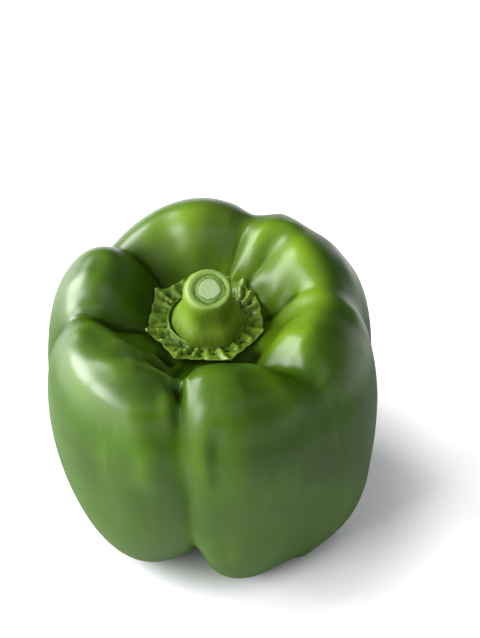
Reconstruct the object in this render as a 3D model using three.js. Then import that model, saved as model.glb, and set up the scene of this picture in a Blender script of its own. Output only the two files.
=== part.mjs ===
// A blocky green bell pepper as picked: the fleshy fruit standing on the tips of its lobes,
// the calyx lying in the hollow of its crown, and the cut stem rising from the calyx.
// Units are millimetres. +Z is up, along the stem, and -Y is the front.
import * as THREE from "three";

// Driving dimensions.
const FRUIT_RADIUS = 43.2; // to the widest point of a lobe of ordinary reach
const FRUIT_HEIGHT = 80; // from the lobe tips to the crest of an ordinary shoulder
const SEAT_HEIGHT = 66.8; // of the hollow in the crown that the calyx lies in
const CALYX_RADIUS = 15.1;
const CALYX_THICKNESS = 1.5;
const STEM_RADIUS = 5.7; // of the neck, just below the cut
const STEM_HEIGHT = 14.5;
const GAP = 0.3; // between pieces that touch

// How finely each surface is divided.
const FRUIT_DEGREES_PER_COLUMN = 4.6;
const FRUIT_RINGS = 38;
const CALYX_COLUMNS = 45;
const CALYX_RINGS = 22;
const STEM_COLUMNS = 25;
const STEM_RINGS = 22;

const DEGREE = Math.PI / 180;
const mix = THREE.MathUtils.lerp;

// A smooth curve through points chosen by hand, read at t from 0 to 1.
function curveThrough(points) {
  const curve = new THREE.CatmullRomCurve3(points.map(([x, y]) => new THREE.Vector3(x, y, 0)));
  return (t) => curve.getPoint(t);
}

// Stations down the fruit's surface, as [radius / FRUIT_RADIUS, height / FRUIT_HEIGHT], from the
// centre of the crown over the shoulder and round the foot to the blossom end.
// One line follows the crest of a lobe and the other the bottom of the deepest groove.
const SEAT = SEAT_HEIGHT / FRUIT_HEIGHT;
const CREST_AND_GROOVE = [
  [[0.0, SEAT], [0.0, SEAT]], // centre of the crown
  [[0.17, SEAT], [0.17, SEAT]], // seat of the calyx
  [[0.31, 0.84], [0.31, 0.83]],
  [[0.4, 0.88], [0.41, 0.835]], // slope inside the shoulder
  [[0.5, 0.95], [0.53, 0.86]],
  [[0.64, 1.0], [0.65, 0.88]], // top of the shoulder
  [[0.82, 0.965], [0.78, 0.85]],
  [[0.955, 0.855], [0.87, 0.755]],
  [[1.0, 0.69], [0.9, 0.625]], // widest
  [[0.995, 0.51], [0.9, 0.475]],
  [[0.955, 0.33], [0.85, 0.34]],
  [[0.87, 0.15], [0.73, 0.23]],
  [[0.73, 0.02], [0.56, 0.15]], // foot
  [[0.5, -0.005], [0.4, 0.11]],
  [[0.24, 0.06], [0.22, 0.09]],
  [[0.0, 0.1], [0.0, 0.1]], // blossom end
];
const crestLine = curveThrough(CREST_AND_GROOVE.map((station) => station[0]));
const grooveLine = curveThrough(CREST_AND_GROOVE.map((station) => station[1]));

// Grooves between the lobes, anticlockwise from the right, given at the crown, shoulder, flank and
// foot. angle: where each runs, in degrees from +X. depth: how far it lies from the crest line
// towards the groove line.
const GROOVES = [
  { name: "right", angle: [9, 1, -2, 4], depth: [1.0, 0.45, 0.5, 0.8] },
  { name: "back_right_fold", angle: [48, 44, 43, 42], depth: [0.75, 0.05, 0.05, 0.2] },
  { name: "back_right", angle: [69, 68, 68, 68], depth: [0.95, 0.55, 0.5, 0.9] },
  { name: "back_left", angle: [132, 138, 143, 140], depth: [1.0, 0.9, 0.6, 0.8] },
  { name: "left", angle: [190, 185, 184, 188], depth: [1.1, 0.8, 0.75, 0.9] },
  { name: "front", angle: [250, 259, 261, 265], depth: [1.25, 0.95, 0.75, 1.15] },
  { name: "front_right_fold", angle: [304, 307, 310, 318], depth: [0.95, 0.3, 0.0, -0.25] },
];
// The lobe that follows each groove. reach scales its radius at the shoulder and at the foot and
// rise its shoulder's height, foot is how far its tip stays above the ground, in millimetres,
// round is how full it is, and skew moves its crest towards the groove before it (over 1) or the
// one after it (under 1).
const LOBES = [
  { name: "right_back", reach: [1.0, 1.03], rise: 1.025, foot: 0.0, round: 0.8, skew: 1.0 },
  { name: "back_right", reach: [1.0, 1.0], rise: 1.0, foot: 1.0, round: 0.8, skew: 1.0 },
  { name: "back", reach: [0.98, 0.98], rise: 1.01, foot: 0.0, round: 0.65, skew: 1.5 },
  { name: "left", reach: [0.95, 0.98], rise: 1.02, foot: 0.8, round: 0.7, skew: 1.1 },
  { name: "front_left", reach: [0.98, 0.99], rise: 0.99, foot: 0.0, round: 0.65, skew: 1.0 },
  { name: "front_right", reach: [1.0, 1.02], rise: 1.0, foot: 0.0, round: 0.65, skew: 1.0 },
  { name: "right", reach: [1.03, 1.13], rise: 1.0, foot: 0.3, round: 0.7, skew: 1.1 },
];

// A smooth run through values given at places from 0 to 1 down the surface.
function runThrough(places, values, t) {
  let i = 1;
  while (i < places.length - 1 && t > places[i]) i += 1;
  const share = THREE.MathUtils.smoothstep(t, places[i - 1], places[i]);
  return mix(values[i - 1], values[i], share);
}
const [SHOULDER_AT, FOOT_AT] = [0.4, 0.85];
const STATIONS = [0.25, SHOULDER_AT, 0.62, FOOT_AT]; // crown, shoulder, flank and foot

// The line down a groove: its lobes' crest line, sunk towards the groove line.
function grooveBottom(groove, t) {
  return crestLine(t).lerp(grooveLine(t), runThrough(STATIONS, groove.depth, t));
}

// The line down the middle of a lobe. Reach grows and rise lifts only away from the two poles.
function lobeCrest(lobe, t) {
  const crest = crestLine(t);
  const shoulder = THREE.MathUtils.smoothstep(t, 0.15, 0.35);
  crest.x *= mix(1, runThrough([SHOULDER_AT, FOOT_AT], lobe.reach, t), shoulder);
  crest.y *= mix(1, lobe.rise, shoulder * (1 - THREE.MathUtils.smoothstep(t, 0.4, 0.7)));
  const lift = THREE.MathUtils.smoothstep(t, 0.6, FOOT_AT) - THREE.MathUtils.smoothstep(t, 0.93, 1);
  crest.y += (lobe.foot / FRUIT_HEIGHT) * lift;
  return crest;
}

// A point of the fruit: share runs from 0 to 1 across a lobe, from its groove to the next.
function fruitPoint(lobeIndex, share, t) {
  const lobe = LOBES[lobeIndex];
  const start = GROOVES[lobeIndex];
  const end = GROOVES[(lobeIndex + 1) % GROOVES.length];
  const turn = lobeIndex === GROOVES.length - 1 ? 360 : 0;
  const startAngle = runThrough(STATIONS, start.angle, t);
  const endAngle = runThrough(STATIONS, end.angle, t) + turn;
  const angle = DEGREE * mix(startAngle, endAngle, share);
  const bulge = Math.sin(Math.PI * (1 - (1 - share) ** lobe.skew)) ** lobe.round;
  const line = grooveBottom(start, t).lerp(grooveBottom(end, t), share).lerp(lobeCrest(lobe, t), bulge);
  const radius = line.x * FRUIT_RADIUS;
  return [radius * Math.cos(angle), radius * Math.sin(angle), Math.max(0, line.y * FRUIT_HEIGHT)];
}

// The fruit's columns as [lobe, share across it], closer together beside the grooves.
function fruitColumns() {
  const columns = [];
  LOBES.forEach((lobe, index) => {
    const next = GROOVES[index + 1] ?? { angle: [GROOVES[0].angle[0] + 360] };
    const count = Math.round((next.angle[0] - GROOVES[index].angle[0]) / FRUIT_DEGREES_PER_COLUMN);
    for (let i = 0; i < count; i += 1) {
      const share = i / count;
      const crowding = 0.35;
      columns.push([index, share - (crowding * Math.sin(2 * Math.PI * share)) / (2 * Math.PI)]);
    }
  });
  return columns;
}

// A closed surface of rings of points between a top pole and a bottom pole. pointAt(column, ring)
// gives each point, with ring 0 the top pole and ring `rings` the bottom one.
function closedSurface(columns, rings, pointAt) {
  const positions = [...pointAt(0, 0)];
  for (let ring = 1; ring < rings; ring += 1) {
    for (let column = 0; column < columns; column += 1) positions.push(...pointAt(column, ring));
  }
  positions.push(...pointAt(0, rings));
  const lastPoint = (rings - 1) * columns + 1;
  const indexAt = (column, ring) => {
    if (ring === 0) return 0;
    return ring === rings ? lastPoint : 1 + (ring - 1) * columns + (column % columns);
  };
  const triangles = [];
  for (let ring = 0; ring < rings; ring += 1) {
    for (let column = 0; column < columns; column += 1) {
      const [a, b] = [indexAt(column, ring), indexAt(column + 1, ring)];
      const [c, d] = [indexAt(column, ring + 1), indexAt(column + 1, ring + 1)];
      if (ring < rings - 1) triangles.push(a, c, d);
      if (ring > 0) triangles.push(a, d, b);
    }
  }
  const geometry = new THREE.BufferGeometry();
  geometry.setAttribute("position", new THREE.Float32BufferAttribute(positions, 3));
  geometry.setIndex(triangles);
  geometry.computeVertexNormals();
  return geometry;
}

function fruitGeometry() {
  const columns = fruitColumns();
  return closedSurface(columns.length, FRUIT_RINGS, (column, ring) => {
    const [lobe, share] = columns[column];
    return fruitPoint(lobe, share, ring / FRUIT_RINGS);
  });
}

// The tips of the calyx's fused sepals, in degrees from +X.
const SEPAL_TIPS = [12, 50, 86, 118, 147, 198, 243, 290, 335];
// Half section of the calyx as [radius / CALYX_RADIUS, height over its underside / CALYX_THICKNESS],
// from its middle under the stem, over the puckered brim and back along its underside.
const CALYX_SECTION = [
  [0.0, 1.0],
  [0.4, 1.0],
  [0.55, 1.0],
  [0.69, 1.0], // rim of the flat that the stem stands on
  [0.75, 1.7], // lip round the stem
  [0.81, 1.4],
  [0.88, 1.85],
  [0.95, 2.0],
  [1.0, 1.75], // edge
  [0.97, 1.05],
  [0.85, 0.45],
  [0.7, 0.1],
  [0.5, 0.0],
  [0.0, 0.0],
];
const calyxLine = curveThrough(CALYX_SECTION);

function calyxPoint(column, ring) {
  const angle = (360 * column) / CALYX_COLUMNS;
  const after = SEPAL_TIPS.findIndex((tip) => tip > angle);
  const last = SEPAL_TIPS.length - 1;
  const start = after > 0 ? SEPAL_TIPS[after - 1] : SEPAL_TIPS[last] - (after === 0 ? 360 : 0);
  const end = after >= 0 ? SEPAL_TIPS[after] : SEPAL_TIPS[0] + 360;
  const hollow = Math.sin((Math.PI * (angle - start)) / (end - start));
  const point = calyxLine(ring / CALYX_RINGS);
  const outer = THREE.MathUtils.smoothstep(point.x, 0.6, 1);
  const radius = point.x * CALYX_RADIUS * (1 - 0.07 * hollow * outer);
  const height = SEAT_HEIGHT + GAP + point.y * CALYX_THICKNESS + 0.3 * (1 - 2 * hollow) * outer;
  return [radius * Math.cos(angle * DEGREE), radius * Math.sin(angle * DEGREE), height];
}

// The stem's section along its own line, as [radius / STEM_RADIUS, height / STEM_HEIGHT].
const STEM_SECTION = [
  [0.0, 1.0],
  [0.55, 1.0],
  [0.93, 1.0],
  [1.0, 0.97], // rim of the cut
  [0.97, 0.88],
  [0.97, 0.76], // neck
  [1.1, 0.6],
  [1.34, 0.42],
  [1.51, 0.26],
  [1.57, 0.14], // swelling over the calyx
  [1.49, 0.03],
  [1.39, 0.0],
  [1.2, 0.0],
  [0.6, 0.0],
  [0.0, 0.0],
];
const STEM_LEAN = 13; // degrees from upright
const STEM_LEANS_TO = 286; // degrees from +X, just right of the front
const STEM_OFFSET = 0.8; // of the stem's foot from the middle, the same way
const STEM_RIBS = 5;

const stemSection = curveThrough(STEM_SECTION);
const UP = new THREE.Vector3(0, 0, 1);
const STEM_WAY = new THREE.Vector3(1, 0, 0).applyAxisAngle(UP, STEM_LEANS_TO * DEGREE);
const STEM_HINGE = new THREE.Vector3().crossVectors(UP, STEM_WAY);
const STEM_LINE = UP.clone().applyAxisAngle(STEM_HINGE, STEM_LEAN * DEGREE);
const STEM_FOOT = new THREE.Vector3(0, 0, SEAT_HEIGHT + 2 * GAP + CALYX_THICKNESS);
STEM_FOOT.addScaledVector(STEM_WAY, STEM_OFFSET);

// The stem's line leans, and its sections turn with it more and more from the level foot up.
function stemPoint(column, ring) {
  const angle = (2 * Math.PI * column) / STEM_COLUMNS;
  const section = stemSection(ring / STEM_RINGS);
  const rib = 1 + 0.025 * Math.cos(STEM_RIBS * angle) * (1 - section.y);
  const point = new THREE.Vector3(section.x * STEM_RADIUS * rib, 0, 0);
  point.applyAxisAngle(UP, angle).applyAxisAngle(STEM_HINGE, STEM_LEAN * DEGREE * section.y);
  point.addScaledVector(STEM_LINE, section.y * STEM_HEIGHT).add(STEM_FOOT);
  return point.toArray();
}

function piece(name, geometry, color, roughness) {
  const mesh = new THREE.Mesh(geometry, new THREE.MeshStandardMaterial({ color, roughness, metalness: 0 }));
  mesh.name = name;
  return mesh;
}

const group = new THREE.Group();
group.add(
  piece("fruit", fruitGeometry(), 0x4f7d1c, 0.25),
  piece("calyx", closedSurface(CALYX_COLUMNS, CALYX_RINGS, calyxPoint), 0x5c7a2a, 0.45),
  piece("stem", closedSurface(STEM_COLUMNS, STEM_RINGS, stemPoint), 0x9dbb4a, 0.5),
);

// The part's frame stands under the middle of its box, on the ground.
const middle = new THREE.Box3().setFromObject(group, true).getCenter(new THREE.Vector3());
for (const mesh of group.children) mesh.position.set(-middle.x, -middle.y, 0);

export default group;
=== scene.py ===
import math

import bmesh
import bpy
from mathutils import Euler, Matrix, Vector
from mathutils.bvhtree import BVHTree
from mathutils.kdtree import KDTree


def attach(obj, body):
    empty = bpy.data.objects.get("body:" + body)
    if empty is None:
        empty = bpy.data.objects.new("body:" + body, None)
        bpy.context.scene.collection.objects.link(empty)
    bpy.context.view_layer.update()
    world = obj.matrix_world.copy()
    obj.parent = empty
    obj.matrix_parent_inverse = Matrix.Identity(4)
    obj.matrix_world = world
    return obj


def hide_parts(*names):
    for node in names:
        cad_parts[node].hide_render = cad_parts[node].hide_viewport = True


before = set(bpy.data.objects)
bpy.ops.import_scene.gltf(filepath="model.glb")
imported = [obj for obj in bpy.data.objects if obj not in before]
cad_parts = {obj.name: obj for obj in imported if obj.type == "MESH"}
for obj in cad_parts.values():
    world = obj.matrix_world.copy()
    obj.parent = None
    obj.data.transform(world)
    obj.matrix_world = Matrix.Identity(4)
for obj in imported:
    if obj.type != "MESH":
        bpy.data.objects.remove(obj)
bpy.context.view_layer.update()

# A blocky green bell pepper: the glossy fruit, the puckered calyx in the hollow of its crown and
# the cut stem. Sizes are in metres, +Z is up along the stem and -Y is the front.

MM = 0.001
SEAT = Vector((-1.306 * MM, 0.295 * MM, 66.8 * MM))  # middle of the crown's hollow, under the calyx
WELL_CLEAR = 120  # mm, further out than any of the pepper
# The angles between a point's normal and the surface round it at which a hollow is marked as
# deepest, and a crest as highest.
HOLLOW_ANGLE = math.radians(60)
CREST_ANGLE = math.radians(110)


# ---------------------------------------------------------------- modelling


def only(piece):
    """Leaves just this piece selected and active."""
    bpy.ops.object.select_all(action="DESELECT")
    piece.select_set(True)
    bpy.context.view_layer.objects.active = piece


def edit(piece):
    """Opens a piece in edit mode with nothing selected."""
    only(piece)
    bpy.ops.object.mode_set(mode="EDIT")
    bpy.ops.mesh.select_mode(type="VERT")
    bpy.ops.mesh.select_all(action="DESELECT")


def done():
    """Closes edit mode, or painting."""
    bpy.ops.object.mode_set(mode="OBJECT")


def subdivide(piece, levels):
    """Rounds a piece with a Subdivision Surface modifier and applies it."""
    only(piece)
    rounding = piece.modifiers.new("rounding", "SUBSURF")
    rounding.levels = levels
    rounding.render_levels = levels
    bpy.ops.object.modifier_apply(modifier=rounding.name)


def mark_hollows(piece, blur):
    """Writes the hollows and crests of a surface, from 0 to 1, into an attribute for its colour, where
    it paints shade into the hollows.
    """
    only(piece)
    bpy.ops.geometry.color_attribute_add(
        name="hollows", domain="POINT", data_type="FLOAT_COLOR", color=(1, 1, 1, 1)
    )
    bpy.ops.object.mode_set(mode="VERTEX_PAINT")
    bpy.ops.paint.vertex_color_dirt(
        blur_iterations=blur, clean_angle=CREST_ANGLE, dirt_angle=HOLLOW_ANGLE
    )
    done()


def polar(angle, radius, height=0.0):
    """A point round the crown's middle: angle in degrees from +X, radius and height in mm."""
    turn = math.radians(angle)
    x = SEAT.x + radius * MM * math.cos(turn)
    y = SEAT.y + radius * MM * math.sin(turn)
    return Vector((x, y, height * MM))


class Clay:
    """A piece in edit mode whose surface is pulled and pressed with proportional editing."""

    def __init__(self, piece):
        self.piece = piece
        self.surface = BVHTree.FromPolygons(
            [v.co for v in piece.data.vertices], [p.vertices for p in piece.data.polygons]
        )
        self.nearest = KDTree(len(piece.data.vertices))
        for vertex in piece.data.vertices:
            self.nearest.insert(vertex.co, vertex.index)
        self.nearest.balance()
        edit(piece)

    def from_above(self, angle, radius):
        """The place straight below a point over the crown."""
        return self.surface.ray_cast(polar(angle, radius, WELL_CLEAR), Vector((0, 0, -1)))

    def from_outside(self, angle, height):
        """The place where a level line from outside meets the flank."""
        outside = polar(angle, WELL_CLEAR, height)
        return self.surface.ray_cast(outside, polar(angle, 0, height) - outside)

    def move(self, places, by, reach, falloff="SMOOTH"):
        """Moves the points nearest to the places, and their surroundings less and less."""
        bpy.ops.mesh.select_all(action="DESELECT")
        shape = bmesh.from_edit_mesh(self.piece.data)
        shape.verts.ensure_lookup_table()
        for place in places:
            shape.verts[self.nearest.find(place)[1]].select = True
        shape.select_flush(True)
        bmesh.update_edit_mesh(self.piece.data)
        bpy.ops.transform.translate(
            value=by,
            use_proportional_edit=True,
            use_proportional_connected=True,
            proportional_edit_falloff=falloff,
            proportional_size=reach,
        )

    def press(self, hits, depth, reach):
        """Presses a crease along a line of hits on the surface, or raises a ridge if depth < 0."""
        inward = -sum((hit[1] for hit in hits), Vector()).normalized()
        self.move([hit[0] for hit in hits], inward * depth * MM, reach * MM)

    def soften(self, from_angle, to_angle, inner, outer, low, high, passes):
        """Evens out a patch of the surface, between two angles, radii and heights."""
        bpy.ops.mesh.select_all(action="DESELECT")
        shape = bmesh.from_edit_mesh(self.piece.data)
        for vertex in shape.verts:
            place = vertex.co - SEAT
            turn = (math.degrees(math.atan2(place.y, place.x)) - from_angle) % 360
            within = inner * MM < math.hypot(place.x, place.y) < outer * MM
            level = low * MM < vertex.co.z < high * MM
            vertex.select = within and level and turn < to_angle - from_angle
        shape.select_flush(True)
        bmesh.update_edit_mesh(self.piece.data)
        bpy.ops.mesh.vertices_smooth(factor=0.5, repeat=passes)


def along(stops, steps):
    """Points spaced evenly along straight runs between the stops, the short way round."""
    points = []
    for (a0, b0), (a1, b1) in zip(stops, stops[1:]):
        a1 += 360 * round((a0 - a1) / 360)
        for step in range(steps):
            share = step / steps
            points.append((a0 + (a1 - a0) * share, b0 + (b1 - b0) * share))
    return points + [stops[-1]]


# ---------------------------------------------------------------- the fruit

MERGE_DISTANCE = 0.001 * MM
CROWN_STEPS = 6  # points on each run of a line over the crown
FLANK_STEPS = 10  # and down a flank
# Broad forms of the crown as [(angle, radius), ...], rise and reach, in degrees and mm.
CROWN_FORMS = [
    ([(200, 22), (212, 23), (224, 20)], -2.0, 7.5),  # basin of the front left lobe
    ([(206, 30), (217, 30.5), (229, 27), (239, 21.5)], -2.0, 5.5),  # and the foot of its brow
    ([(222, 33.5), (229, 31.5), (238, 28.5), (248, 24.5)], 1.7, 5.5),  # its brow, up to the groove
    ([(248, 17), (252, 22), (254, 27)], 1.3, 3.6),  # the front groove bends to the right
    ([(203, 37), (212, 38), (221, 38.8), (229, 39)], 1.2, 5.5),  # its full left shoulder
    ([(249.5, 25), (251.5, 30), (252.5, 36)], 1.7, 3.8),  # the lobe is flat up to the groove
    ([(254, 26), (255.3, 31), (256, 36)], 1.9, 3.0),  # and the groove is narrow
    ([(260.5, 26), (261.5, 30), (262, 36)], 1.8, 3.0),
    ([(326, 28), (345, 28.5), (15, 28), (36, 28)], 0.8, 7.0),  # crest of the right lobes
    ([(326, 19), (345, 19.5)], -0.6, 5.0),  # and the slope inside it
    ([(68, 15), (68, 31)], 2.2, 5.0),  # shallower grooves at the back right
    ([(48, 16), (47, 24), (46, 33)], 1.9, 4.5),
    ([(9, 21), (5, 26), (0, 31), (-3, 39)], 2.8, 6.5),  # the right groove fades over the crest
    ([(7, 23), (-2, 30), (-4, 38)], 1.4, 3.8),
    ([(18, 18.5), (28, 18.5), (40, 18)], 1.1, 3.6),  # even slope up to the right lobes
    ([(317, 20.5), (324, 23)], 1.9, 5.0),
    ([(185, 27), (184, 34)], 1.1, 4.5),  # the left lobe is fullest beside its groove
    ([(164, 29), (164, 36)], -0.9, 6.0),
    ([(299, 24), (304, 34)], 1.3, 6.0),  # the front right lobe stands over the fold
]
# Creases of the crown as [(angle, radius), ...], depth and reach. A depth below 0 makes a ridge.
CROWN_CREASES = [
    ([(206, 36), (214, 37.5), (224, 38.3)], -2.0, 10.0),  # full shoulder of the front left lobe
    ([(222, 38.6), (240, 37)], -1.7, 9.0),
    ([(230, 38.5), (236, 38.5)], -0.4, 6.0),
    ([(303, 34), (305, 39)], -1.7, 7.5),  # and of the front right lobe
    ([(267, 28), (268, 34)], -0.6, 4.5),  # its crest beside the groove
    ([(311, 18), (313, 33)], 1.5, 8.0),  # fold between the front right and the right lobe
    ([(311, 30), (313, 38)], 0.5, 5.5),
    ([(308.5, 25), (310, 33)], 1.0, 4.0),
    ([(256, 16.5), (257.5, 28)], 0.9, 3.0),  # front groove
    ([(7, 14.5), (357, 17), (352, 22)], 0.7, 5.0),  # right groove
    ([(10, 20.5), (8, 23)], 0.5, 1.8),  # dent beside it
    ([(231, 15.5), (238, 16)], 2.2, 3.6),  # pits under the calyx's edge
    ([(308, 15.5), (317, 16)], 2.2, 3.6),
    ([(114, 17), (113, 28)], 0.6, 6.0),  # the two shallow valleys inside the back lobe
    ([(84, 16), (84, 26)], 0.5, 5.0),
    ([(229, 22), (243, 20), (250, 17)], 0.6, 2.6),  # tuck beside the front groove
    ([(165, 17), (163, 27)], 0.5, 5.0),  # valley between the back and the left lobe
]
# The front groove's line on the flank, drawn sideways: [(angle, height), ...], shift and reach.
GROOVE_SHIFTS = [
    ([(259, 50), (260, 38), (261, 25), (262, 12)], (2.0, 0, 0), 11.0),
    ([(257.5, 70), (258.5, 60)], (0.8, 0, 0), 7.0),
]
# Patches that are evened out: the two angles, the two radii, the two heights and how often.
SOFT_PATCHES = [
    (-26, 32, 23, 40, 66, 90, 10),  # crest of the right lobes
    (-14, 20, 25, 37, 66, 90, 14),
    (10, 60, 17, 36, 66, 90, 7),  # slope inside it
    (59, 76, 17, 38, 66, 90, 9),  # groove at the back right
    (286, 308, 29, 46, 58, 90, 9),  # shoulder of the front right lobe
    (306, 336, 17, 29, 64, 90, 7),  # fold beside it
    (259, 276, 30, 46, 50, 80, 8),  # its side along the front groove
    (200, 228, 28, 37, 66, 90, 6),  # shoulder of the front left lobe
    (198, 242, 33, 48, 60, 90, 14),
    (238, 251, 22, 44, 60, 90, 5),  # its side along the front groove
    (298, 330, 30, 60, 12, 68, 10),  # flank under the fold
    (303, 322, 30, 60, 8, 72, 14),
]
# Creases of the flanks as [(angle, height), ...], depth and reach.
FLANK_CREASES = [
    ([(246, 74), (249, 52)], -1.6, 5.0),  # the front left lobe stays full up to the groove
    ([(309, 68), (309, 14)], -0.7, 4.5),  # shallow fold between the front right and the right lobe
    ([(316, 66), (316, 20)], 1.1, 6.0),
    ([(269, 74), (269, 60)], -0.5, 5.0),  # the front right lobe is full beside the groove
    ([(232, 66), (230, 30)], 0.5, 9.0),  # broad shallow hollows down the lobes
    ([(296, 60), (294, 34)], 0.4, 9.0),
    ([(160, 60), (162, 30)], 0.6, 8.0),
    ([(100, 66), (104, 26)], 0.8, 10.0),
    ([(24, 60), (24, 30)], 0.6, 8.0),
    ([(336, 62), (340, 30)], 0.4, 8.0),
]
# Sharper creases of the flanks, pressed in last.
FINE_CREASES = [
    ([(274.2, 71), (273.7, 64)], 0.45, 2.4),  # short crease beside the front groove
    ([(273.9, 68), (273.6, 62), (273.4, 55)], 0.9, 2.4),
]


def model_fruit():
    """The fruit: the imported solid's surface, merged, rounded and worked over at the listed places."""
    fruit = bpy.data.objects.new("fruit_skin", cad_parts["fruit"].data.copy())
    bpy.context.scene.collection.objects.link(fruit)
    fruit.data.materials.clear()
    only(fruit)
    bpy.ops.mesh.customdata_custom_splitnormals_clear()
    bpy.ops.object.mode_set(mode="EDIT")
    bpy.ops.mesh.select_all(action="SELECT")
    bpy.ops.mesh.remove_doubles(threshold=MERGE_DISTANCE)
    bpy.ops.mesh.tris_convert_to_quads(
        face_threshold=math.pi, shape_threshold=math.pi, topology_influence=1
    )
    done()
    subdivide(fruit, 1)

    clay = Clay(fruit)
    for stops, rise, reach in CROWN_FORMS:
        places = [clay.from_above(*stop)[0] for stop in along(stops, CROWN_STEPS)]
        clay.move(places, Vector((0, 0, rise * MM)), reach * MM)
    for stops, depth, reach in CROWN_CREASES:
        clay.press([clay.from_above(*stop) for stop in along(stops, CROWN_STEPS)], depth, reach)
    for stops, depth, reach in FLANK_CREASES:
        clay.press([clay.from_outside(*stop) for stop in along(stops, FLANK_STEPS)], depth, reach)
    for stops, shift, reach in GROOVE_SHIFTS:
        places = [clay.from_outside(*stop)[0] for stop in along(stops, FLANK_STEPS)]
        clay.move(places, Vector(shift) * MM, reach * MM)
    for patch in SOFT_PATCHES:
        clay.soften(*patch)
    for stops, depth, reach in FINE_CREASES:
        clay.press([clay.from_outside(*stop) for stop in along(stops, FLANK_STEPS)], depth, reach)
    done()
    subdivide(fruit, 1)

    mark_hollows(fruit, blur=10)
    bpy.ops.object.shade_smooth()
    return fruit


# ---------------------------------------------------------------- the calyx

CALYX_COLUMNS = 96
BRIM_RADIUS = 14.35  # mm
BRIM_HEIGHT = 2.2  # mm over the seat
TIP_REACH = 3.4  # mm
FOLD_STEPS = 8  # points along each fold
CRUMPLE_SIZE = 2.4 * MM
CRUMPLE_DEPTH = 0.35 * MM
# The calyx's section from under the stem, over the brim and back underneath, in mm:
# radius and height over the seat.
CALYX_SECTION = [
    (8.0, 0.8),
    (8.8, 0.9),
    (9.1, 1.5),
    (9.25, 2.3),
    (9.4, 2.55),  # thin lip round the stem's foot
    (9.6, 2.3),
    (9.9, 1.5),
    (10.4, 1.2),
    (11.2, 1.4),
    (12.0, 1.7),
    (12.8, 1.9),
    (13.6, 2.1),
    (14.3, 2.3),  # edge of the brim
    (14.35, 2.05),
    (13.6, 1.6),
    (12.5, 1.1),
    (11.0, 0.7),
    (9.4, 0.4),
    (8.0, 0.4),
]
# The tips of the fused sepals: angle, and how far each is drawn out and up, in mm.
SEPAL_TIPS = [
    (7, -0.6, 0.1), (31, 0.2, 0.2), (52, 1.5, 0.9), (66, 1.0, 0.4),
    (80, 1.4, 0.2), (103, 1.7, 0.3), (127, -0.5, 0.2), (144, 1.9, 0.9),
    (171, -0.6, 0.0), (198, 1.7, 0.9), (220, -0.5, -0.1), (242, 2.2, 0.5),
    (268, -0.8, -0.3), (293, 2.1, 0.3), (317, -0.4, 0.0), (341, 0.9, 0.5),
]
# Folds of the brim: angle and radius of the inner and of the outer end, height and reach, in mm.
CALYX_FOLDS = [
    (2, 11.2, 2, 13.4, 0.6, 1.1),
    (19, 10.6, 22, 13.4, 0.8, 1.1),
    (31, 11.0, 40, 15.0, 1.1, 1.2),
    (40, 10.4, 56, 15.2, 1.3, 1.2),
    (66, 10.8, 70, 14.6, 0.7, 1.2),
    (84, 10.6, 80, 13.4, 0.8, 1.3),
    (98, 10.6, 104, 13.4, 0.7, 1.3),
    (116, 10.8, 114, 14.2, 0.6, 1.2),
    (130, 10.8, 128, 14.0, 0.6, 1.2),
    (144, 10.8, 144, 15.6, 1.0, 1.1),
    (155, 10.0, 151, 11.6, 0.7, 0.9),
    (172, 10.6, 174, 12.8, 0.25, 1.3),
    (187, 10.4, 188, 12.4, 0.3, 1.1),
    (200, 9.9, 198, 15.2, 1.0, 1.2),
    (229, 10.4, 215, 13.4, 1.0, 1.1),
    (240, 11.8, 242, 15.6, 0.9, 1.1),
    (247, 10.3, 246, 11.8, 1.0, 0.9),
    (259, 10.4, 257, 12.2, 1.0, 0.9),
    (272, 10.6, 273, 13.4, 0.4, 1.0),
    (289, 10.8, 290, 14.6, 1.1, 1.2),
    (310, 10.8, 308, 12.8, 0.9, 1.1),
    (331, 10.4, 327, 13.2, 1.0, 1.3),
    (345, 10.8, 342, 14.6, 0.6, 1.1),
]
# Pockets pressed between the folds: angle, radius, depth and reach, in mm.
CALYX_POCKETS = [
    (10, 11.4, 0.6, 1.3), (27, 12.2, 0.5, 1.2), (46, 13.2, 0.7, 1.2), (60, 11.8, 0.6, 1.2),
    (92, 12.2, 0.5, 1.4), (138, 12.2, 0.6, 1.2), (164, 12.2, 0.7, 2.2), (186, 12.6, 0.5, 1.8),
    (208, 11.8, 0.6, 1.3), (236, 12.4, 0.6, 1.0), (252, 11.8, 0.8, 0.9), (265, 12.2, 0.6, 1.1),
    (281, 11.6, 0.6, 1.1), (299, 11.6, 0.6, 1.2), (320, 11.6, 0.7, 1.2), (352, 11.4, 0.6, 1.2),
]


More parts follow.
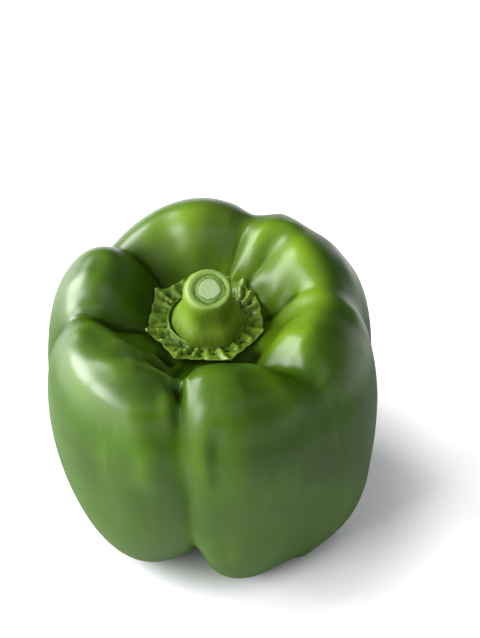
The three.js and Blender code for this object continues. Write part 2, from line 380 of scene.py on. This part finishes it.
def model_calyx():
    """The calyx: a ring drawn outwards from under the stem, its brim pulled into tips and folds."""
    first_radius, first_height = CALYX_SECTION[0]
    bpy.ops.object.select_all(action="DESELECT")
    bpy.ops.mesh.primitive_circle_add(
        vertices=CALYX_COLUMNS,
        radius=first_radius * MM,
        fill_type="NOTHING",
        location=SEAT + Vector((0, 0, first_height * MM)),
    )
    calyx = bpy.context.object
    calyx.name = "calyx_collar"
    bpy.ops.object.transform_apply(location=True, rotation=True, scale=True)
    edit(calyx)
    bpy.ops.mesh.select_all(action="SELECT")
    for (radius, height), (next_radius, next_height) in zip(CALYX_SECTION, CALYX_SECTION[1:]):
        rise = (next_height - height) * MM
        bpy.ops.mesh.extrude_edges_move(TRANSFORM_OT_translate={"value": (0, 0, rise)})
        spread = next_radius / radius
        bpy.ops.transform.resize(value=(spread, spread, 1), center_override=SEAT)
    bpy.ops.mesh.select_all(action="DESELECT")
    bpy.ops.mesh.select_non_manifold()
    bpy.ops.mesh.bridge_edge_loops()
    bpy.ops.mesh.select_all(action="SELECT")
    bpy.ops.mesh.normals_make_consistent(inside=False)
    done()
    subdivide(calyx, 1)

    clay = Clay(calyx)
    brim_height = SEAT.z / MM + BRIM_HEIGHT
    for angle, out, up in SEPAL_TIPS:
        away = polar(angle, out) - polar(angle, 0)
        away.z = up * MM
        clay.move([polar(angle, BRIM_RADIUS, brim_height)], away, TIP_REACH * MM, "SHARP")
    for angle, radius, outer_angle, outer_radius, height, reach in CALYX_FOLDS:
        line = along([(angle, radius), (outer_angle, outer_radius)], FOLD_STEPS)
        places = [clay.from_above(*point)[0] for point in line]
        on_brim = [place for place in places if place]  # a fold may run out past the brim
        clay.move(on_brim, Vector((0, 0, height * MM)), reach * MM)
    for angle, radius, depth, reach in CALYX_POCKETS:
        clay.move([clay.from_above(angle, radius)[0]], Vector((0, 0, -depth * MM)), reach * MM)
    done()
    subdivide(calyx, 1)

    only(calyx)
    crumple = bpy.data.textures.new("crumple", "CLOUDS")
    crumple.noise_scale = CRUMPLE_SIZE
    crumple.noise_depth = 1
    rumpled = calyx.modifiers.new("rumpled", "DISPLACE")
    rumpled.texture = crumple
    rumpled.texture_coords = "LOCAL"
    rumpled.strength = CRUMPLE_DEPTH
    rumpled.mid_level = 0.5
    bpy.ops.object.modifier_apply(modifier=rumpled.name)
    mark_hollows(calyx, blur=2)
    bpy.ops.object.shade_smooth()
    return calyx


# ---------------------------------------------------------------- the stem

STEM_COLUMNS = 60
STEM_FOOT = Vector((-0.8 * MM, -0.85 * MM, 67.4 * MM))
CUT_CENTRE = Vector((-0.25 * MM, -3.8 * MM, 83.7 * MM))
STEM_WAY = -2  # degrees that its lean turns from the front towards the right
FOOT_TILT = 3  # degrees from upright
CUT_TILT = 19
CUT_DEPTH = 0.35 * MM  # faces up to this far below the rim belong to the cut
CUT_FACING = 0.7  # if they face along the stem at least this much
# The stem's section from its foot to the cut, in mm: distance along its line, radius and sideways
# shift.
STEM_SECTION = [
    (0.0, 8.3, 0.0),
    (0.3, 8.65, 0.0),
    (1.2, 8.8, 0.0),
    (2.6, 8.7, 0.0),
    (4.0, 8.35, 0.0),
    (5.2, 7.85, 0.0),
    (6.2, 7.15, 0.0),
    (7.2, 6.5, 0.0),
    (8.4, 6.1, 0.0),
    (10.0, 6.05, 0.0),
    (12.4, 6.0, 0.0),
    (15.0, 5.95, 0.05),
    (15.8, 5.8, 0.2),
    (16.3, 5.5, 0.45),
    (16.55, 5.2, 0.6),  # rim of the cut
    (16.6, 4.95, 0.65),
]
# The cut face inside the rim: radius and how far it lies below the rim.
CUT_SECTION = [
    (4.6, 0.0),
    (4.35, 0.04),
    (4.1, 0.16),
    (3.8, 0.2),
    (3.4, 0.2),
    (3.0, 0.12),
    (2.75, 0.02),
    (2.2, -0.03),  # the pith stands a little proud
    (1.2, 0.0),
]
# The stem's blunt ribs and the flats between them: degrees from +X, and mm outwards.
STEM_RIBS = [
    (185, 0.35), (218, -0.3), (250, 0.3), (278, -0.3), (305, 0.35), (330, -0.25),
    (355, 0.35), (22, -0.25), (52, 0.3), (84, -0.25), (116, 0.3), (150, -0.25),
]
RIB_RISES = (1, 2.5, 4, 6, 8, 10, 12)  # mm over the foot, up each rib
RIB_REACH = 4.0  # mm


def model_stem():
    """The stem: a ring drawn upwards along its leaning line, closed by the cut and ribbed."""
    length = STEM_SECTION[-1][0]
    bpy.ops.object.select_all(action="DESELECT")
    bpy.ops.mesh.primitive_circle_add(
        vertices=STEM_COLUMNS, radius=STEM_SECTION[0][1] * MM, fill_type="NGON"
    )
    stem = bpy.context.object
    stem.name = "stem_cut_short"
    edit(stem)
    bpy.ops.mesh.select_mode(type="EDGE")
    bpy.ops.mesh.select_all(action="SELECT")
    centre = Vector()
    tilt = 0
    aside = STEM_SECTION[-1][2]
    rings = STEM_SECTION + [(length - depth, radius, aside) for radius, depth in CUT_SECTION]
    for index, (ring, next_ring) in enumerate(zip(rings, rings[1:])):
        distance, radius, shift = ring
        next_distance, next_radius, next_shift = next_ring
        heading = math.radians(tilt)
        step = Vector((0, -math.sin(heading), math.cos(heading))) * (next_distance - distance) * MM
        step.x = (next_shift - shift) * MM
        centre = centre + step
        bpy.ops.mesh.extrude_edges_move(TRANSFORM_OT_translate={"value": step})
        spread = next_radius / radius
        bpy.ops.transform.resize(value=(spread, spread, spread), center_override=centre)
        # The rings of the cut keep the tilt of its rim.
        if next_distance > distance and index < len(STEM_SECTION) - 1:
            next_tilt = FOOT_TILT + (CUT_TILT - FOOT_TILT) * next_distance / length
            bpy.ops.transform.rotate(
                value=math.radians(tilt - next_tilt), orient_axis="X", center_override=centre
            )
            tilt = next_tilt
    bpy.ops.mesh.edge_face_add()
    bpy.ops.mesh.poke()
    bpy.ops.mesh.select_all(action="SELECT")
    bpy.ops.mesh.normals_make_consistent(inside=False)
    done()
    stem.rotation_euler.z = math.radians(STEM_WAY)
    stem.location = STEM_FOOT
    bpy.ops.object.transform_apply(location=True, rotation=True, scale=True)

    clay = Clay(stem)
    for angle, out in STEM_RIBS:
        hits = [clay.from_outside(angle, STEM_FOOT.z / MM + rise) for rise in RIB_RISES]
        clay.press(hits, -out, RIB_REACH)
    done()
    subdivide(stem, 2)

    edit(stem)
    shape = bmesh.from_edit_mesh(stem.data)
    facing = Vector((0, -math.sin(math.radians(CUT_TILT)), math.cos(math.radians(CUT_TILT))))
    facing.rotate(Euler((0, 0, math.radians(STEM_WAY))))
    for face in shape.faces:
        rise = (face.calc_center_median() - CUT_CENTRE).dot(facing)
        if rise > -CUT_DEPTH and face.normal.dot(facing) > CUT_FACING:
            face.material_index = 1  # the cut's own material
    bmesh.update_edit_mesh(stem.data)
    done()
    bpy.ops.object.shade_smooth()
    return stem


# ---------------------------------------------------------------- materials


def srgb(red, green, blue):
    """A colour given as 0 to 255, as the linear colour that shaders use."""
    parts = [part / 255 for part in (red, green, blue)]
    linear = [part / 12.92 if part <= 0.04045 else ((part + 0.055) / 1.055) ** 2.4 for part in parts]
    return (*linear, 1.0)


class Signal:
    """An output socket that takes Python's operators, each adding a Math node."""

    def __init__(self, paint, socket):
        self.paint = paint
        self.socket = socket

    def math(self, operation, *operands, clamp=False):
        """Adds a Math node on numbers and signals."""
        settings = {"operation": operation, "use_clamp": clamp}
        return self.paint.node("ShaderNodeMath", settings, dict(enumerate(operands)))

    def __add__(self, other):
        return self.math("ADD", self, other)

    def __radd__(self, other):
        return self.math("ADD", other, self)

    def __sub__(self, other):
        return self.math("SUBTRACT", self, other)

    def __rsub__(self, other):
        return self.math("SUBTRACT", other, self)

    def __mul__(self, other):
        return self.math("MULTIPLY", self, other)

    def __rmul__(self, other):
        return self.math("MULTIPLY", other, self)

    def __pow__(self, other):
        return self.math("POWER", self, other)

    def clamped(self):
        """The signal kept between 0 and 1."""
        return self.math("ADD", self, 0.0, clamp=True)

    def step(self, low, high, start=0.0, end=1.0):
        """Runs smoothly from start to end as the signal goes from low to high."""
        settings = {"interpolation_type": "SMOOTHSTEP"}
        inputs = {"Value": self, "From Min": low, "From Max": high, "To Min": start, "To Max": end}
        return self.paint.node("ShaderNodeMapRange", settings, inputs)


class Graph:
    """A node tree round its shader; place is the coordinates that its textures use."""

    def __init__(self, tree, shader, coordinates):
        self.tree = tree
        self.shader = tree.nodes[shader]
        self.place = self.node("ShaderNodeTexCoord", output=coordinates)

    def node(self, kind, settings=None, inputs=None, output=0):
        """Adds a node with its settings, and with the values or links of its sockets."""
        node = self.tree.nodes.new(kind)
        for key, value in (settings or {}).items():
            setattr(node, key, value)
        for key, value in (inputs or {}).items():
            self.feed(node.inputs[key], value)
        return Signal(self, node.outputs[output])

    def feed(self, socket, value):
        """Links a signal to a socket, or sets the socket's own value."""
        if isinstance(value, Signal):
            self.tree.links.new(value.socket, socket)
        else:
            socket.default_value = value

    def drive(self, socket, value):
        """Feeds one of the shader's sockets."""
        self.feed(self.shader.inputs[socket], value)

    def mix(self, first, second, factor):
        """Mixes two colours."""
        settings = {"data_type": "RGBA", "clamp_factor": True}
        return self.node("ShaderNodeMix", settings, {0: factor, 6: first, 7: second}, 2)

    def noise(self, scale, detail=2.0, roughness=0.5, place=None):
        """Cloudy noise; scale is its number of waves in a metre."""
        inputs = {
            "Vector": place or self.place,
            "Scale": scale,
            "Detail": detail,
            "Roughness": roughness,
        }
        return self.node("ShaderNodeTexNoise", None, inputs, "Fac")

    def spots(self, scale):
        """Distance to the nearest of scattered points, in cells."""
        inputs = {"Vector": self.place, "Scale": scale}
        return self.node("ShaderNodeTexVoronoi", None, inputs, "Distance")

    def moved(self, location=(0, 0, 0), rotation=(0, 0, 0), scale=(1, 1, 1), kind="POINT"):
        """Object coordinates after a Mapping node."""
        inputs = {"Vector": self.place, "Location": location, "Rotation": rotation, "Scale": scale}
        return self.node("ShaderNodeMapping", {"vector_type": kind}, inputs)

    def axis(self, which, place=None):
        """One of a place's three coordinates."""
        return self.node("ShaderNodeSeparateXYZ", None, {0: place or self.place}, which)

    def bump(self, height, distance, strength):
        """A Bump node; distance is the height in metres of a signal of 1."""
        inputs = {"Height": height, "Distance": distance, "Strength": strength}
        return self.node("ShaderNodeBump", None, inputs)


class Paint(Graph):
    """A material round its Principled shader; constants are set straight on the shader's sockets."""

    def __init__(self, name, **constants):
        self.material = bpy.data.materials.new(name)
        self.material.use_nodes = True
        super().__init__(self.material.node_tree, "Principled BSDF", "Object")
        for socket, value in constants.items():
            self.drive(socket.replace("_", " "), value)


def from_axis(across, back):
    """How far a point lies from the axis, going by how far it is to the right and to the back."""
    return (across * across + back * back) ** 0.5


# Where the skin's colour and gloss change, each as the two ends of a soft edge.
CROWN_HEIGHTS = (60 * MM, 72 * MM)  # up over the shoulders
CROWN_EDGE = (34 * MM, 25 * MM)  # and in from the rim
YELLOW_AND_LIT_SIDE = (-6 * MM, 14 * MM)  # to the back right of the stem, where the crown is painted lighter and yellower: partly the skin's own tone, partly painted light
FOOT_HEIGHTS = (62 * MM, 12 * MM)  # down the flanks, where it is duller
GLOSS_HEIGHTS = (62 * MM, 76 * MM)  # up from the flanks' gloss to the crown's
FLANK_GLOSS = 0.26
CROWN_GLOSS = 0.9
GLOSS_EDGE = (14 * MM, 31 * MM)  # out from the stem
RIGHT_SIDE = (5 * MM, 18 * MM)  # the right lobes, to the right of the stem
RIGHT_START = (17 * MM, 23 * MM)  # and from this far out to their rim
RIGHT_END = (40 * MM, 32 * MM)
FRONT_RIGHT = (-9 * MM, -4 * MM)  # the front right lobe, to the right of the front groove
FRONT_RIGHT_BACK = (-20 * MM, -27 * MM)  # and in front of the stem
FRONT_LEFT = (-21 * MM, -14 * MM)  # the front left lobe, beside the groove
FRONT_LEFT_BACK = (-29 * MM, -34 * MM)
FRONT_HEIGHTS = (58 * MM, 66 * MM)  # up over the shoulders of both
# How far from the cut's middle its parts change.
PITH_EDGE = (2.5 * MM, 2.9 * MM)
VESSELS_INNER = (3.2 * MM, 2.8 * MM)
VESSELS_OUTER = (3.3 * MM, 3.8 * MM)
RIM_EDGE = (3.9 * MM, 4.4 * MM)
CUT_WOBBLE = 1.7 * MM  # how uneven those edges are
STEM_FOOT_SHADE_HEIGHTS = (SEAT.z + 8 * MM, SEAT.z + 1.5 * MM)  # down to the stem's foot, painted darker and greener as painted shade


def skin_material():
    """Waxy green skin with faint flecks: lighter and yellower on the crests as painted light, darker in
    the hollows as painted shade.
    """
    paint = Paint("waxy_skin", Specular_IOR_Level=0.0, Coat_IOR=1.65, Coat_Roughness=0.33)
    hollows = paint.node("ShaderNodeAttribute", {"attribute_name": "hollows"}, None, "Fac")
    height = paint.axis("Z")
    drift = paint.noise(28, 3)
    streaks = paint.noise(1, 4, 0.6, place=paint.moved(scale=(170, 170, 22)))
    across = paint.axis("X") - SEAT.x
    back = paint.axis("Y") - SEAT.y
    radius = from_axis(across, back)
    crown = height.step(*CROWN_HEIGHTS) * radius.step(*CROWN_EDGE)
    yellow_and_lit_crown = crown * (back + across * 1.15).step(*YELLOW_AND_LIT_SIDE)
    # Painted light and shade: the skin is lighter on its crests and darker in its hollows, mixed with
    # tone that varies at random.
    crest_light_and_tone = (hollows.step(0.08, 0.6) * 0.7 + drift.step(0.35, 0.7) * 0.5).clamped()

    deep = paint.mix(srgb(32, 54, 4), srgb(44, 72, 6), drift)
    green = paint.mix(deep, srgb(62, 93, 7), crest_light_and_tone)
    # The crown's back right is painted lighter and yellower, partly the skin's own tone and partly
    # painted light, most on the crests.
    green = paint.mix(green, srgb(96, 128, 16), yellow_and_lit_crown * (crest_light_and_tone * 0.6 + 0.4))
    green = paint.mix(green, srgb(50, 74, 16), height.step(*FOOT_HEIGHTS) * 0.5)
    green = paint.mix(green, srgb(92, 120, 22), streaks.step(0.52, 0.8) * 0.2)
    flecks = paint.spots(900).step(0.28, 0.12) * paint.noise(140).step(0.45, 0.65)
    green = paint.mix(green, srgb(112, 142, 44), flecks * 0.12)
    # Painted shade: nearly black green in the deepest hollows, such as the pits under the calyx's edge.
    green = paint.mix(green, srgb(12, 24, 4), hollows.step(0.05, 0.0) * 0.6)
    paint.drive("Base Color", green)
    paint.drive("Roughness", 0.3 + paint.noise(60, 4) * 0.1)
    paint.drive("Normal", paint.bump(paint.noise(95, 2), distance=0.6 * MM, strength=0.35))

    # The gloss is strong on the crown and weak in its hollows, under the stem and on the flanks.
    gloss = height.step(*GLOSS_HEIGHTS, FLANK_GLOSS, CROWN_GLOSS)
    gloss = gloss * hollows.step(0.0, 0.14, 0.2, 1.0) * radius.step(*GLOSS_EDGE, 0.5, 1.0)
    # The crest of the right lobes and the shoulders of the front lobes are calmer.
    right = across.step(*RIGHT_SIDE) * radius.step(*RIGHT_START) * radius.step(*RIGHT_END)
    front_right = across.step(*FRONT_RIGHT) * back.step(*FRONT_RIGHT_BACK)
    front_left = across.step(*FRONT_LEFT) * back.step(*FRONT_LEFT_BACK)
    front = (front_right + front_left * (1 - front_right)) * height.step(*FRONT_HEIGHTS)
    paint.drive("Coat Weight", gloss * (1 - (right * 0.42 + front * 0.5)))
    return paint.material


def calyx_material():
    """Leafy green of the calyx, paler along its thin edge and on the tops of its folds, with painted
    shade in its hollows.
    """
    paint = Paint("calyx_green", IOR=1.42)
    hollows = paint.node("ShaderNodeAttribute", {"attribute_name": "hollows"}, None, "Fac")
    drift = paint.noise(220, 3)
    green = paint.mix(srgb(90, 120, 25), srgb(112, 143, 38), drift.step(0.3, 0.7))
    # Painted shade: darker green in the calyx's hollows.
    green = paint.mix(srgb(46, 66, 12), green, hollows.step(0.0, 0.1))
    green = paint.mix(green, srgb(152, 172, 92), hollows.step(0.18, 0.5) * 0.85)
    paint.drive("Base Color", green)
    paint.drive("Roughness", 0.3 + drift * 0.15)
    paint.drive("Normal", paint.bump(paint.noise(700, 4), distance=0.15 * MM, strength=0.5))
    return paint.material


def stem_material():
    """Yellow green side of the stem, with fine lengthwise streaks and painted shade darkening its foot.
    """
    paint = Paint("stem_green", IOR=1.4)
    drift = paint.noise(120, 3)
    streaks = paint.noise(1, 3, 0.6, place=paint.moved(scale=(900, 900, 90)))
    foot_shade = paint.axis("Z").step(*STEM_FOOT_SHADE_HEIGHTS)
    green = paint.mix(srgb(102, 130, 26), srgb(84, 112, 16), drift)
    # Painted shade: darker and greener towards the stem's foot.
    green = paint.mix(green, srgb(74, 100, 10), foot_shade * 0.7)
    green = paint.mix(green, srgb(122, 146, 46), streaks.step(0.45, 0.75) * 0.4)
    paint.drive("Base Color", green)
    paint.drive("Roughness", 0.5 + drift * 0.15)
    paint.drive("Normal", paint.bump(streaks, distance=0.2 * MM, strength=0.5))
    return paint.material


def cut_material():
    """The cut across the stem: pale rim, a green ring dotted with vessels, and the grey green pith."""
    paint = Paint("stem_cut", IOR=1.4, Roughness=0.45)
    place = paint.moved(CUT_CENTRE, (math.radians(CUT_TILT), 0, math.radians(STEM_WAY)), kind="TEXTURE")
    wobble = (paint.noise(300, 2) - 0.5) * CUT_WOBBLE
    radius = from_axis(paint.axis("X", place), paint.axis("Y", place)) + wobble
    vessels = paint.spots(1700).step(0.5, 0.25) * paint.noise(800, 2).step(0.38, 0.55)
    edges = radius.step(*VESSELS_OUTER) + radius.step(*VESSELS_INNER)
    ring = paint.mix(srgb(104, 134, 60), srgb(78, 108, 34), edges)
    ring = paint.mix(ring, srgb(22, 40, 6), vessels * (edges * 0.8 + 0.2))
    green = paint.mix(srgb(150, 166, 128), srgb(132, 156, 100), paint.noise(900, 3))
    green = paint.mix(green, ring, radius.step(*PITH_EDGE))
    green = paint.mix(green, srgb(114, 140, 64), radius.step(*RIM_EDGE))
    paint.drive("Base Color", green)
    paint.drive("Normal", paint.bump(paint.noise(1500, 3), distance=0.15 * MM, strength=0.7))
    return paint.material


# ---------------------------------------------------------------- the pepper

fruit = model_fruit()
fruit.data.materials.append(skin_material())
calyx = model_calyx()
calyx.data.materials.append(calyx_material())
stem = model_stem()
stem.data.materials.append(stem_material())
stem.data.materials.append(cut_material())

for piece, node, slot in ((fruit, "fruit", "skin"), (calyx, "calyx", "calyx"), (stem, "stem", "stem")):
    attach(piece, "root")
    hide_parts(node)


# ---------------------------------------------------------------- studio

LIGHTS_AIM = Vector((0, 0, 0.055))
FLOOR_SIZE = 8
PAINTED_SHADOW_FLOOR = (38 * MM, 22 * MM)  # painted shadow, in from the pepper's feet, as the two ends of a soft edge
GLOWING_FLOOR = (45 * MM, 70 * MM)  # painted light: the floor glows out from them
BLACK = (0, 0, 0, 1)
WHITE = (1, 1, 1, 1)


def pale():
    """White of the floor: darker with a painted shadow where the pepper stands, and glowing a little
    away from it as painted light.
    """
    paint = Paint("studio_white", Roughness=0.9, Emission_Strength=0.34)
    across = paint.axis("X")
    back = paint.axis("Y")
    radius = from_axis(across, back)
    # Painted shadow: the floor turns grey round the pepper's feet.
    floor_with_painted_shadow = paint.mix(srgb(248, 248, 250), srgb(155, 158, 154), radius.step(*PAINTED_SHADOW_FLOOR))
    paint.drive("Base Color", floor_with_painted_shadow)
    # Painted light: the floor glows more the further it is from the pepper.
    paint.drive("Emission Color", paint.mix(BLACK, WHITE, radius.step(*GLOWING_FLOOR)))
    return paint.material


def floor():
    """The floor that the pepper stands on."""
    bpy.ops.object.select_all(action="DESELECT")
    bpy.ops.mesh.primitive_plane_add(size=FLOOR_SIZE)
    ground = bpy.context.object
    ground.name = "studio_floor"
    ground.data.materials.append(pale())


def softbox(name, place, size, watts):
    """A rectangular area light that faces the pepper."""
    light = bpy.data.lights.new(name, "AREA")
    light.shape = "RECTANGLE"
    light.size, light.size_y = size
    light.energy = watts
    box = bpy.data.objects.new(name, light)
    bpy.context.scene.collection.objects.link(box)
    box.location = place
    box.rotation_euler = (LIGHTS_AIM - Vector(place)).to_track_quat("-Z", "Y").to_euler()
    return box


HORIZON = (0.6, 0.61, 0.63, 1)
OVERHEAD = (0.08, 0.085, 0.09, 1)
HORIZON_RISE = (0.0, 0.22)  # how far up it fades, where 1 is straight overhead


def surroundings():
    """A studio that is pale near the horizon and dim overhead."""
    world = bpy.data.worlds.new("studio")
    world.use_nodes = True
    graph = Graph(world.node_tree, "Background", "Generated")
    graph.drive("Color", graph.mix(HORIZON, OVERHEAD, graph.axis("Z").step(*HORIZON_RISE)))
    bpy.context.scene.world = world
    bpy.context.scene.view_settings.view_transform = "Standard"


floor()
softbox("key", place=(-1.36, 0.34, 0.6), size=(1.3, 1.0), watts=54.0)
softbox("window", place=(-1.12, -0.7, 0.6), size=(0.7, 0.8), watts=24.0)
softbox("front", place=(0.25, -0.62, 0.6), size=(1.1, 0.3), watts=1.1)
ceiling = softbox("ceiling", place=(0.2, 0.1, 1.5), size=(2.4, 2.4), watts=13.0)
ceiling.visible_glossy = False  # it lights the skin without mirroring in it
surroundings()


# ---------------------------------------------------------------- camera

CAMERA_AIM = Vector((7.2 * MM, 0, 69 * MM))
CAMERA_DISTANCE = 0.533
CAMERA_ELEVATION = math.radians(46.8)
SENSOR_HEIGHT = 36  # mm
LENS = 120.6  # mm
NEAREST_SEEN = 0.01

camera = bpy.data.objects.new("camera", bpy.data.cameras.new("camera"))
camera.data.sensor_fit = "VERTICAL"
camera.data.sensor_height = SENSOR_HEIGHT
camera.data.lens = LENS
camera.data.clip_start = NEAREST_SEEN
back = Vector((0, -math.cos(CAMERA_ELEVATION), math.sin(CAMERA_ELEVATION)))
camera.location = CAMERA_AIM + back * CAMERA_DISTANCE
camera.rotation_euler = (-back).to_track_quat("-Z", "Y").to_euler()
bpy.context.scene.collection.objects.link(camera)
bpy.context.scene.camera = camera
